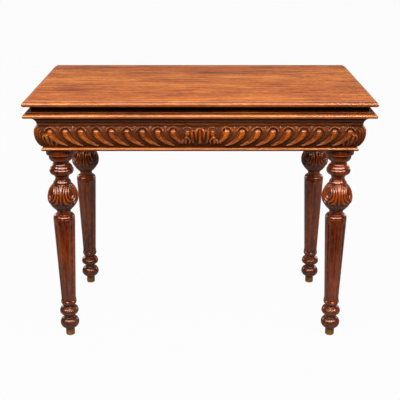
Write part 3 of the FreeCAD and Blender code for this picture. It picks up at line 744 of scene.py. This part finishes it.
def friezeCarving(across, fromCorner, up, half, low, top):
    deepest = -9.0
    nearest = np.full(across.shape, 99.0)
    body = np.full(across.shape, deepest)
    ground = np.full(across.shape, frieze["ground"])
    lines = np.full(across.shape, deepest)
    heads = []
    head = half - frieze["firstHead"]
    while head > frieze["lastHead"]:
        heads.append(head)
        head -= frieze["spacing"]
    arch, foot = frieze["arch"], frieze["gadroonFoot"]
    inward, outward = frieze["gadroonReach"]
    profiles = [frieze[name] for name in ("ridgeSide", "hollowSide", "headRing")]
    for index, head in enumerate(heads):
        rows = frieze["gadroon"]
        rows = rows[:frieze["lastRows"]] if index == len(heads) - 1 else rows
        thin = frieze["endWidth"] if index == 0 else 1.0
        rows = laidOut([(head - row[0], row[1], row[2] * thin, row[3]) for row in rows], low, top)
        columns = np.where(((across > head - inward) & (across < head + outward)).any(0))[0]
        here, there = across[:, columns], up[:, columns]
        distance, width, crest = nearStroke(rows, here, there, 90)
        closer = distance < nearest[:, columns]
        above = np.clip((there - rows[0][1]) / frieze["headBlend"] + 0.5, 0, 1)
        width = np.maximum(width, 0.3)
        tail = rounded(distance, width, crest, foot)
        shape = tail * (1 - above) + domed(distance, width, crest, foot) * above
        nearest[:, columns] = np.where(closer, distance, nearest[:, columns])
        uncut = np.where(closer, deepest, body[:, columns])
        body[:, columns] = np.where(closer & (distance < 0), shape, uncut)
        rising = [row[1] for row in rows][::-1]
        middle = np.interp(there, rising, [row[0] for row in rows][::-1])
        outer = np.clip((here - middle) / frieze["sideBlend"] + 0.5, 0, 1)
        away = np.maximum(distance, 0)
        ridged, hollowed, ringed = (np.interp(away, *zip(*profile)) for profile in profiles)
        floor = ridged * (1 - outer) + hollowed * outer
        floor = np.where(away < arch["out"], floor * (1 - above) + ringed * above, floor)
        ground[:, columns] = np.where(closer, floor, ground[:, columns])
        for raised, share in ((frieze["ridge"], (1 - outer) * (1 - above)), (arch, above)):
            line = np.clip(1 - ((distance - raised["out"]) / raised["half"]) ** 2, 0, 1) * share
            line = deepest + (raised["top"] - deepest) * np.sqrt(line)
            lines[:, columns] = np.maximum(lines[:, columns], line)
    height = np.where(nearest < 0, body, np.maximum(ground, lines))
    for head in heads[1:] + [heads[-1] - frieze["spacing"] * frieze["tuftEnd"]]:
        middle = head + frieze["spacing"] / 2
        for stroke in frieze["tuft"]:
            for turn in (1, -1):
                rows = [(middle + turn * row[0],) + row[1:] for row in stroke]
                carveStroke(height, across, up, laidOut(rows, low, top), frieze["tuftGround"])
    centre = faded(across, frieze["centreReach"], frieze["leafBlend"])
    height = height * (1 - centre) + centre * np.where(nearest < 0, height, frieze["centreGround"])
    for stroke in frieze["centreLeaf"]:
        carveStroke(height, across, up, laidOut(stroke, low, top), frieze["centreGround"])
    carveStroke(height, across, up, laidOut(frieze["centreArch"], low, top), frieze["centreArchGround"])
    corner = faded(up, np.interp(fromCorner, *zip(*frieze["cornerTop"])), frieze["leafBlend"])
    kept = (nearest < 0) & (fromCorner > frieze["cornerClear"])
    height = height * (1 - corner) + corner * np.where(kept, height, frieze["cornerGround"])
    for stroke in frieze["cornerLeaf"]:
        carveStroke(height, fromCorner, up, laidOut(stroke, low, top), frieze["cornerGround"])
    return height


def friezePiece(side, turns):
    node = f"frieze_{side}"
    low, high = (np.array(corner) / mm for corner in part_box(node))
    long = turns % 2 == 0
    half = high[0] if long else high[1]
    belly = max(abs(low[1]), abs(high[1])) if long else max(abs(low[0]), abs(high[0]))
    depth = (high - low)[1 if long else 0]
    count = int(2 * half / frieze["step"])
    level = np.linspace(low[2], high[2], frieze["rows"])[:, None]
    behind, facing, slope, length = friezeSection(level, low[2], high[2])
    share = np.linspace(-1, 1, count)[None, :]
    along = (half - behind) * share
    fromCorner = half - behind - np.abs(along)
    up = np.repeat(length, count, 1)
    height = friezeCarving(np.abs(along), fromCorner, up, half, low[2], high[2])
    edge = faded(level, high[2], frieze["topEdge"])
    height = height * edge - frieze["topEdge"] * (1 - edge)
    leafShade = faded(fromCorner, *frieze["cornerShade"]) + faded(np.abs(along), *frieze["centreShade"])
    inwards = behind - height * facing
    nearEnd = faded(fromCorner, frieze["mitreReach"], frieze["mitreReach"])
    along = along - np.sign(along) * nearEnd * (inwards - behind)
    # two more lines of points, the upper and lower edges of the flat back, close the section
    backAlong = (half - depth) * share
    back = np.full((1, count), belly - depth)
    along = np.vstack([along, backAlong, backAlong])
    out = np.vstack([belly - inwards, back, back])
    rise = np.vstack([level + height * slope, np.full((1, count), high[2]), np.full((1, count), low[2])])
    angle = turns * math.pi / 2
    x = along * math.cos(angle) + out * math.sin(angle)
    y = along * math.sin(angle) - out * math.cos(angle)
    lines = len(rise)
    faces = gridFaces(lines, count, ring="rows")
    faces.append(tuple(line * count for line in range(lines)))
    faces.append(tuple(line * count + count - 1 for line in reversed(range(lines))))
    # painted shade in the deep parts of the carving and round the leaves
    hollow = np.zeros((lines, count))
    hollow[:-2] = np.clip((-height - frieze["hollowStart"]) / frieze["hollowDepth"] + leafShade, 0, 1)
    carvedPiece(node, np.stack([x, y, rise], -1) * mm, faces, hollow, frameFinish[side])


for turns, side in enumerate(sides):
    friezePiece(side, turns)
print("friezes carved")


# Legs: the turned outline from the rail down, radius and level in mm; "round" is the middle of a curve.
leg = {
    "columns": 176,
    "step": 1.1,  # between rows round a curve
    "mostRows": 60,  # along a straight run
    "outline": [
        (39.0, 567.0), (39.0, 550.0), (33.4, 548.5), (32.6, 540.0), (30.4, 534.0, "round"), (22.6, 528.5),
        (21.2, 524.0, "round"), (24.0, 518.5), (27.4, 515.0, "round"), (29.6, 511.0), (28.2, 510.0),
        (32.6, 502.5, "round"), (26.0, 491.5), (18.3, 480.5, "round"), (19.2, 475.0), (22.4, 471.5, "round"),
        (24.4, 467.0), (23.2, 465.5), (38.2, 445.0, "round"), (42.4, 424.5), (38.0, 405.75, "round"),
        (19.6, 387.0), (18.9, 380.5, "round"), (19.6, 374.5), (26.8, 371.5, "round"), (29.4, 366.5),
        (28.4, 365.0), (29.8, 362.5), (20.3, 118.5), (22.0, 106.5), (20.8, 101.0, "round"), (16.0, 95.5),
        (15.4, 92.0), (20.0, 89.0, "round"), (24.4, 85.0), (23.8, 84.2), (26.4, 79.0, "round"), (15.6, 66.5),
        (14.2, 61.5, "round"), (15.0, 57.0), (17.0, 55.5), (26.8, 40.5, "round"), (14.2, 23.5),
    ],
    "columnTop": (29.8, 362.5),
    "columnFoot": (20.3, 118.5),
    "flutes": 8,
    "fluteRadius": 6.5,
    "fluteDepth": 2.6,
    "fluteTip": 353.5,
    "fluteEnd": 107.5,
    "bulbTop": 465.4,
    "bulbFoot": 388.0,
    "leaves": 4,
    "leafStrokes": [  # degrees from the midrib, level, half width, crest
        [(0.0, 464.0, 7.6, -0.2), (0.0, 450.0, 5.8, 0.0), (0.0, 434.0, 4.2, 0.0), (0.0, 418.0, 3.2, -0.2),
         (0.0, 404.0, 1.2, -1.6)],
        [(21.0, 461.0, 2.8, -0.6), (13.5, 447.0, 3.4, -0.3), (12.0, 433.0, 3.8, -0.1),
         (15.6, 421.0, 4.4, 0.0), (23.0, 414.0, 4.2, 0.0), (31.0, 412.5, 2.4, -0.2)],
        [(34.0, 459.0, 2.6, -0.6), (24.0, 447.0, 3.2, -0.3), (22.5, 436.0, 3.6, -0.1),
         (27.0, 426.5, 4.0, 0.0), (34.5, 421.5, 3.4, 0.0), (40.0, 421.5, 1.8, -0.2)],
        [(45.0, 457.0, 3.6, -0.4), (37.0, 450.0, 2.6, -0.5), (33.5, 442.0, 2.4, -0.4),
         (36.0, 433.0, 2.8, -0.2), (43.0, 429.0, 2.8, -0.1)],
        [(11.0, 408.0, 3.0, -2.0), (10.0, 398.0, 2.6, -2.2), (8.0, 390.0, 1.6, -2.6)],
        [(30.0, 407.0, 3.6, -2.0), (28.0, 397.0, 2.8, -2.2), (26.0, 390.0, 1.8, -2.6)],
        [(45.0, 414.0, 3.4, -1.2), (45.0, 404.0, 3.0, -1.8), (45.0, 392.0, 2.0, -2.6)],
    ],
    "bulbGround": -3.6,
    "bulbGroove": 0.7,
    "bulbFade": (3.0, -6.0),  # the carving dies out at the top and foot of the bulb
    "eye": (44.0, 441.5, 3.0),  # degrees, level, radius of the drilled hollow between leaves
    "eyeFloor": -4.6,
    "eyeRise": 1.6,
    "creaseSteps": 1100,  # painted shade in the turned hollows: steps, steps to average over, depth, most shade
    "creaseSpan": 31,
    "creaseDepth": 9.0,
    "creaseShade": 0.7,
    "topShade": (538.0, -8.0, 0.5),  # level, fade and amount of the painted shade under the rails and on the feet
    "footShade": (110.0, 60.0, 0.5),
    "fluteShade": 9.0,  # depth of a flute whose painted shade would be quite dark
    "carvedStart": 1.6,  # painted shade in the carving starts at this depth and is full this much deeper
    "carvedDepth": 3.2,
    "litFrom": (400.0, -12.0),  # the bulb's crests get a painted highlight between these levels
    "litTo": (464.0, 4.0, 0.55),
    "arrisLevel": 551.0,  # the lower edge of the disc under the rails, with a painted highlight line
    "arris": (1.92, 1.2),
    "arrisLight": 0.8,
}


def turnedLine():
    # the outline with its curves drawn out, as rows of radius and level
    rows = []
    outline = leg["outline"]
    corners = [index for index, spot in enumerate(outline) if len(spot) == 2]
    for start, end in zip(corners, corners[1:]):
        first, last = np.array(outline[start][:2]), np.array(outline[end][:2])
        if end == start + 1:
            count = min(max(2, int(np.hypot(*(last - first)) / leg["step"])), leg["mostRows"])
            rows += [first + (last - first) * part for part in np.linspace(0, 1, count, endpoint=False)]
            continue
        middle = np.array(outline[start + 1][:2])
        sides = np.array([middle - first, last - first]) * 2
        squares = np.array([middle @ middle - first @ first, last @ last - first @ first])
        centre = np.linalg.solve(sides, squares)
        radius = np.hypot(*(first - centre))
        angles = np.unwrap([math.atan2(*(spot - centre)[::-1]) for spot in (first, middle, last)])
        count = max(4, int(abs(angles[2] - angles[0]) * radius / leg["step"]))
        for angle in np.linspace(angles[0], angles[2], count, endpoint=False):
            rows.append(centre + radius * np.array([math.cos(angle), math.sin(angle)]))
    rows.append(np.array(outline[-1][:2]))
    return np.array(rows)


def fluteCut(radius, level, angle):
    # the radius left by round-ended flutes down the column
    (topRadius, topLevel), (footRadius, footLevel) = leg["columnTop"], leg["columnFoot"]
    taper = (topRadius - footRadius) / (topLevel - footLevel)
    tool = leg["fluteRadius"]
    axis = footRadius + taper * (level - footLevel) + tool - leg["fluteDepth"]
    past = np.maximum(level - (leg["fluteTip"] - tool), (leg["fluteEnd"] + tool) - level)
    reach = np.sqrt(np.maximum(tool**2 - np.maximum(past, 0) ** 2, 0))
    spread = 2 * math.pi / leg["flutes"]
    offset = (angle + math.pi / 2 + spread / 2) % spread - spread / 2
    aside = axis * np.sin(offset)
    depth = np.sqrt(np.maximum(reach**2 - aside**2, 0))
    cut = axis * np.cos(offset) - depth
    return np.where((np.abs(aside) < reach) & (past < tool), np.minimum(radius, cut), radius)


def bulbCarving(radius, level, angle):
    spread = 2 * math.pi / leg["leaves"]
    offset = np.abs((angle + math.pi / 2 + spread / 2) % spread - spread / 2)
    across = offset * radius
    ground = leg["bulbGround"]
    height = np.full(level.shape, ground)

    def fromMidrib(degrees, spotLevel):
        return math.radians(degrees) * np.interp(-spotLevel, -level[:, 0], radius[:, 0])

    for stroke in leg["leafStrokes"]:
        rows = [(fromMidrib(spot[0], spot[1]),) + spot[1:] for spot in stroke]
        carveStroke(height, across, level, rows, ground, leg["bulbGroove"])
    degrees, eyeLevel, hole = leg["eye"]
    gap = np.hypot(across - fromMidrib(degrees, eyeLevel), level - eyeLevel)
    drilled = leg["eyeFloor"] + leg["eyeRise"] * (gap / hole) ** 2
    height = np.where(gap < hole, np.minimum(height, drilled), height)
    topFade, footFade = leg["bulbFade"]
    ends = np.minimum(faded(level, leg["bulbTop"], topFade), faded(level, leg["bulbFoot"], footFade))
    return height * ends


def turnedCreases(line):
    # how far each level lies behind the outline's average about it, for painted shade in the turned hollows
    even = np.linspace(line[-1, 1], line[0, 1], leg["creaseSteps"])
    radius = np.interp(even, line[::-1, 1], line[::-1, 0])
    span = leg["creaseSpan"]
    average = np.convolve(np.pad(radius, span // 2, mode="edge"), np.ones(span) / span, "valid")
    crease = np.clip((average - radius) / leg["creaseDepth"], 0, leg["creaseShade"])
    return np.interp(line[:, 1], even, crease)[:, None]


def legPiece(corner):
    node = f"leg_{corner}"
    low, high = (np.array(spot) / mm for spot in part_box(node))
    middle = (low + high) / 2
    line = turnedLine()
    rows, count = len(line), leg["columns"]
    angle = np.linspace(0, 2 * math.pi, count, endpoint=False)[None, :] + np.zeros((rows, 1))
    radius = np.repeat(line[:, :1], count, 1)
    level = np.repeat(line[:, 1:], count, 1)
    cut = fluteCut(radius, level, angle)
    onBulb = np.where((line[:, 1] < leg["bulbTop"]) & (line[:, 1] > leg["bulbFoot"]))[0]
    carved = np.zeros(radius.shape)
    carved[onBulb] = bulbCarving(radius[onBulb], level[onBulb], angle[onBulb])
    final = cut + carved
    x = middle[0] + final * np.cos(angle)
    y = middle[1] + final * np.sin(angle)
    faces = gridFaces(rows, count, ring="columns", flipped=True)
    faces.append(tuple(range(count)))
    faces.append(tuple(reversed(range((rows - 1) * count, rows * count))))
    # painted shade in creases, under the rails, on the feet, in the flutes and in the carving, and painted
    # highlights on the bulb's crests and the disc's edge
    shading = turnedCreases(line) + faded(level, *leg["topShade"]) + faded(level, *leg["footShade"])
    shading = shading + (radius - cut) / leg["fluteShade"]
    shading = shading + np.maximum(-carved - leg["carvedStart"], 0) / leg["carvedDepth"]
    litCrests = faded(level, *leg["litFrom"]) * faded(level, *leg["litTo"])
    arris = faded(np.abs(level - leg["arrisLevel"]), *leg["arris"])
    paintedHighlight = leg["arrisLight"] * arris + litCrests * np.clip(1 + carved / leg["carvedStart"], 0, 1)
    hollow = np.clip(shading, 0, 1) * (1 - arris) - paintedHighlight
    carvedPiece(node, np.stack([x, y, level], -1) * mm, faces, hollow, legFinish)


for corner in corners:
    legPiece(corner)
print("legs carved")


# Playing cloth laid into each leaf: a close grid with a slightly uneven nap.
def baizePiece(name, node, body):
    low, high = (np.array(spot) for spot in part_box(node))
    wide, deep = baize["cells"]
    x, y = np.meshgrid(np.linspace(low[0], high[0], wide), np.linspace(low[1], high[1], deep))
    drop = baize["lowered"] - baize["unevenness"] * (np.sin(x * 61 + y * 23) + np.sin(y * 71 - x * 17))
    facesUp = node == "lower_baize"
    z = high[2] - drop if facesUp else low[2] + drop
    faces = gridFaces(deep, wide, flipped=not facesUp)
    piece = standFor(smoothMesh(name, np.stack([x, y, z], -1), faces, baizeFinish), node, body)
    thickness = piece.modifiers.new("thickness", "SOLIDIFY")
    thickness.thickness = baize["thickness"]
    thickness.offset = -1


baizePiece("playing_cloth_lower", "lower_baize", "lower_top")
baizePiece("playing_cloth_upper", "upper_baize", "upper_top")
print("cloth laid")


# Studio: a pale floor and backdrop, soft boxes in front, above and weakly behind, and a white surround.
studio = {
    "floorColour": (0.26, 0.26, 0.26, 1.0),
    "floorSize": (5.0, -0.52, 4.0),  # to each side, front edge, back edge
    "backdropHeight": 3.0,
    "ambient": 0.08,
    "reflected": 0.12,  # how bright the floor and backdrop show in polish and metal
    "reflectedFront": 0.03,  # the same for the dark room before them
    "white": 0.97,
    "boxes": {  # place, width, height and power of each soft box
        "softBoxFront": ((0.0, -1.75, 2.2), 2.4, 0.9, 46.0),
        "softBoxNearLeft": ((-0.9, -1.8, 2.15), 0.5, 0.5, 13.0),
        "softBoxNearRight": ((0.9, -1.8, 2.15), 0.5, 0.5, 13.0),
        "softBoxFarLeft": ((-1.9, -1.2, 2.2), 0.8, 0.8, 22.0),
        "softBoxFarRight": ((1.9, -1.2, 2.2), 0.8, 0.8, 22.0),
        "softBoxAbove": ((0.0, -1.0, 3.2), 1.0, 0.6, 12.0),
        "softBoxBackLeft": ((-1.8, 1.8, 1.0), 0.9, 0.9, 11.0),
        "softBoxBackRight": ((1.8, 1.8, 1.0), 0.9, 0.9, 11.0),
    },
    "target": (0.0, 0.0, 0.45),
    "camera": (0.0, -2.2517, 1.1818),
    "pitch": 17.94,
    "lens": 72.293,
    "drop": -0.0816,  # the view is framed a little below the lens axis
}


def lightPath(paint):
    return paint.outputs("LightPath", {}, {}, ["Is Camera Ray", "Is Glossy Ray", "Is Transmission Ray"])


# The floor turns up into a backdrop behind the table.
def studioFloor():
    finish, paint = newFinish("studioFloor")
    diffuse = paint.add("BsdfDiffuse", {}, {"Color": studio["floorColour"]})
    glow = paint.add("Emission", {}, {"Color": (1.0, 1.0, 1.0, 1.0), "Strength": 1.0})
    direct, glossy, through = lightPath(paint)
    white = (direct + through).clamped() * studio["white"] + glossy * studio["reflected"]
    paint.end(paint.add("MixShader", {}, {0: white, 1: diffuse, 2: glow}))
    mesh = bpy.data.meshes.new("studio_floor")
    side, front, back = studio["floorSize"]
    top = studio["backdropHeight"]
    lines = ((front, 0), (back, 0), (back, top))
    spots = [(x, y, z) for y, z in lines for x in (-side, side)]
    mesh.from_pydata(spots, [], [(0, 1, 3, 2), (2, 3, 5, 4)])
    mesh.materials.append(finish)
    floor = bpy.data.objects.new("studio_floor", mesh)
    bpy.context.scene.collection.objects.link(floor)


def softBox(name, place, width, height, power):
    lamp = bpy.data.lights.new(name, "AREA")
    lamp.shape = "RECTANGLE"
    lamp.size = width
    lamp.size_y = height
    lamp.energy = power
    box = bpy.data.objects.new(name, lamp)
    bpy.context.scene.collection.objects.link(box)
    aim = Vector(studio["target"]) - Vector(place)
    box.location = place
    box.rotation_euler = aim.to_track_quat("-Z", "Y").to_euler()


def surround():
    world = bpy.data.worlds.new("surround")
    bpy.context.scene.world = world
    world.use_nodes = True
    paint = Paint(world.node_tree, "World")
    direct, glossy, through = lightPath(paint)
    seen = (direct + through).clamped() * (studio["white"] - studio["ambient"])
    strength = seen + glossy * (studio["reflectedFront"] - studio["ambient"]) + studio["ambient"]
    paint.end(paint.add("Background", {}, {"Color": (1.0, 1.0, 1.0, 1.0), "Strength": strength}))


def photoCamera():
    lens = bpy.data.cameras.new("photoCamera")
    lens.sensor_width = 36.0
    lens.lens = studio["lens"]
    lens.shift_y = studio["drop"]
    camera = bpy.data.objects.new("photoCamera", lens)
    bpy.context.scene.collection.objects.link(camera)
    camera.location = studio["camera"]
    camera.rotation_euler = (math.radians(90 - studio["pitch"]), 0, 0)
    bpy.context.scene.camera = camera


studioFloor()
for name, box in studio["boxes"].items():
    softBox(name, *box)
surround()
photoCamera()
bpy.context.scene.view_settings.view_transform = "Standard"
print("studio set")
